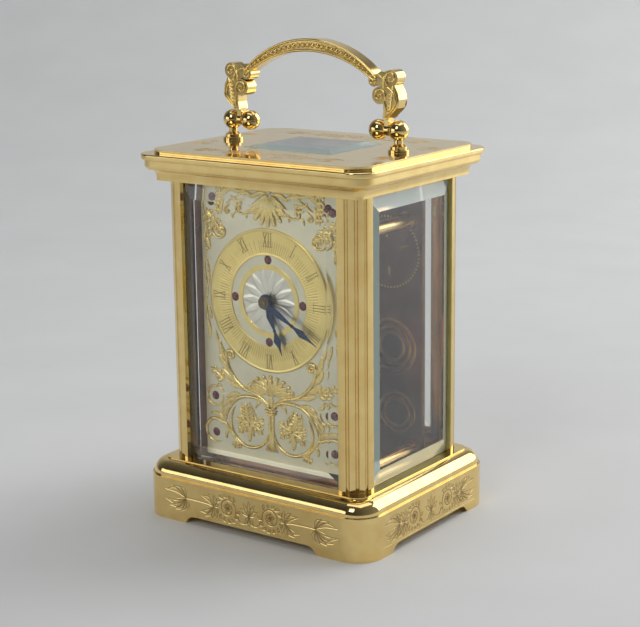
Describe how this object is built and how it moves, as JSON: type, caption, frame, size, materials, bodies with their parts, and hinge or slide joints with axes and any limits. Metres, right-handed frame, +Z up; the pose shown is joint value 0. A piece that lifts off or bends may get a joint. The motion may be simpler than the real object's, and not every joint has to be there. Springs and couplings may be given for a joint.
{
  "type": "carriage clock",
  "caption": "Gilt brass carriage clock: moulded base and cornice, fluted corner columns, bevelled glasses, ornamented dial, folding handle, rear door and lever movement.",
  "frame": {"origin": "middle of the footprint, on the surface that the feet stand on", "axes": "+X to the right along the front, +Y from the front to the back, +Z up"},
  "size_m": [0.096, 0.0804, 0.1664],
  "materials": {
    "gilt_case": "polished gilt",
    "bevelled_glass": "polished, bevelled edges",
    "dial_silver": "silvered, fine satin",
    "dial_gilt": "satin gilt",
    "ruby_stone": "polished cabochon",
    "movement_brass": "fine grained",
    "blued_steel": "heat blued, polished",
    "steel": "fine ground"
  },
  "bodies": {
    "root": {"base_plinth": "gilt_case", "base_floor_plate": "movement_brass", "column_front_left": "gilt_case", "column_front_right": "gilt_case", "column_back_left": "gilt_case", "column_back_right": "gilt_case", "cornice": "gilt_case", "top_plate": "gilt_case", "front_glass": "bevelled_glass", "left_glass": "bevelled_glass", "right_glass": "bevelled_glass", "top_glass": "bevelled_glass", "case_screws": "blued_steel", "floor_screws": "blued_steel", "handle_post_left": "gilt_case", "handle_post_right": "gilt_case", "handle_pivot_screws": "gilt_case", "handle_post_nuts": "gilt_case", "dial_plate": "dial_silver", "chapter_ring": "dial_gilt", "jewel_ring": "dial_silver", "gilt_ring": "dial_gilt", "centre_rosette": "dial_silver", "ruby_cabochons": "ruby_stone", "dial_relief": "dial_gilt", "front_plate": "movement_brass", "back_plate": "movement_brass", "movement_pillars": "movement_brass", "pillar_screws": "blued_steel", "click_spring": "steel", "platform_plate": "movement_brass", "platform_screws": "blued_steel", "escape_cock": "movement_brass", "balance_cock": "movement_brass"},
    "handle": {"handle_bow": "gilt_case"},
    "rear_door": {"door_frame": "gilt_case", "door_glass": "bevelled_glass", "door_hinge_pins": "gilt_case", "door_knob": "gilt_case"},
    "third": {"third_wheel": "movement_brass"},
    "minute": {"centre_wheel": "movement_brass", "cannon_pinion": "steel", "minute_hand": "blued_steel", "hand_collet": "blued_steel"},
    "minute_work": {"minute_wheel": "movement_brass"},
    "hour": {"hour_wheel": "movement_brass", "hour_hand": "blued_steel"},
    "intermediate": {"intermediate_wheel": "movement_brass"},
    "barrel": {"mainspring_barrel": "movement_brass", "barrel_cap": "movement_brass", "mainspring": "steel"},
    "winding": {"barrel_arbor": "steel", "ratchet_wheel": "steel"},
    "click": {"click": "steel"},
    "contrate": {"contrate_wheel": "movement_brass"},
    "escape": {"escape_wheel": "movement_brass"},
    "lever": {"pallet_lever": "steel"},
    "balance": {"balance_wheel": "movement_brass", "hairspring": "blued_steel"}
  },
  "joints": [
    {"name": "handle_fold", "type": "hinge", "parent": "root", "child": "handle", "pos_m": [0, 0, 0.1372], "axis": [1, 0, 0], "range_deg": [-95, 95]},
    {"name": "door_swing", "type": "hinge", "parent": "root", "child": "rear_door", "pos_m": [-0.0304, 0.0313, 0.07], "axis": [0, 0, 1], "range_deg": [0, 92]},
    {"name": "third_wheel_turn", "type": "hinge", "parent": "root", "child": "third", "pos_m": [0.0043, 0, 0.09224], "axis": [0, 1, 0], "continuous": true},
    {"name": "minute_hand_turn", "type": "hinge", "parent": "root", "child": "minute", "pos_m": [0, 0, 0.0804], "axis": [0, 1, 0], "continuous": true},
    {"name": "minute_wheel_turn", "type": "hinge", "parent": "root", "child": "minute_work", "pos_m": [0, 0, 0.0708], "axis": [0, 1, 0], "continuous": true},
    {"name": "hour_hand_turn", "type": "hinge", "parent": "root", "child": "hour", "pos_m": [0, 0, 0.0804], "axis": [0, 1, 0], "continuous": true},
    {"name": "intermediate_wheel_turn", "type": "hinge", "parent": "root", "child": "intermediate", "pos_m": [-0.00852, 0, 0.06929], "axis": [0, 1, 0], "continuous": true},
    {"name": "barrel_turn", "type": "hinge", "parent": "root", "child": "barrel", "pos_m": [0, 0, 0.0482], "axis": [0, 1, 0], "continuous": true},
    {"name": "winding_square_turn", "type": "hinge", "parent": "root", "child": "winding", "pos_m": [0, 0, 0.0482], "axis": [0, 1, 0], "continuous": true},
    {"name": "click_lift", "type": "hinge", "parent": "root", "child": "click", "pos_m": [0.0115, 0.021, 0.051], "axis": [0, 1, 0], "range_deg": [0, 10], "stiffness_Nm_per_rad": 0.0005, "springref_deg": -17.19},
    {"name": "contrate_wheel_turn", "type": "hinge", "parent": "root", "child": "contrate", "pos_m": [0, 0, 0.10149], "axis": [0, 1, 0], "continuous": true},
    {"name": "escape_wheel_turn", "type": "hinge", "parent": "root", "child": "escape", "pos_m": [0, 0.007, 0.115], "axis": [0, 0, 1], "continuous": true},
    {"name": "lever_swing", "type": "hinge", "parent": "root", "child": "lever", "pos_m": [0, 0.0006, 0.116], "axis": [0, 0, 1], "range_deg": [-6, 6]},
    {"name": "balance_swing", "type": "hinge", "parent": "root", "child": "balance", "pos_m": [0, -0.007, 0.1195], "axis": [0, 0, 1], "range_deg": [-135, 135], "stiffness_Nm_per_rad": 0.000007}
  ],
  "couplings": [
    {"joint": "minute_hand_turn", "follows": "third_wheel_turn", "ratio": -0.125},
    {"joint": "minute_wheel_turn", "follows": "third_wheel_turn", "ratio": 0.041667},
    {"joint": "hour_hand_turn", "follows": "third_wheel_turn", "ratio": -0.010417},
    {"joint": "intermediate_wheel_turn", "follows": "third_wheel_turn", "ratio": 0.020833},
    {"joint": "barrel_turn", "follows": "third_wheel_turn", "ratio": -0.0034722},
    {"joint": "contrate_wheel_turn", "follows": "third_wheel_turn", "ratio": -7.5},
    {"joint": "escape_wheel_turn", "follows": "third_wheel_turn", "ratio": -67.5}
  ]
}
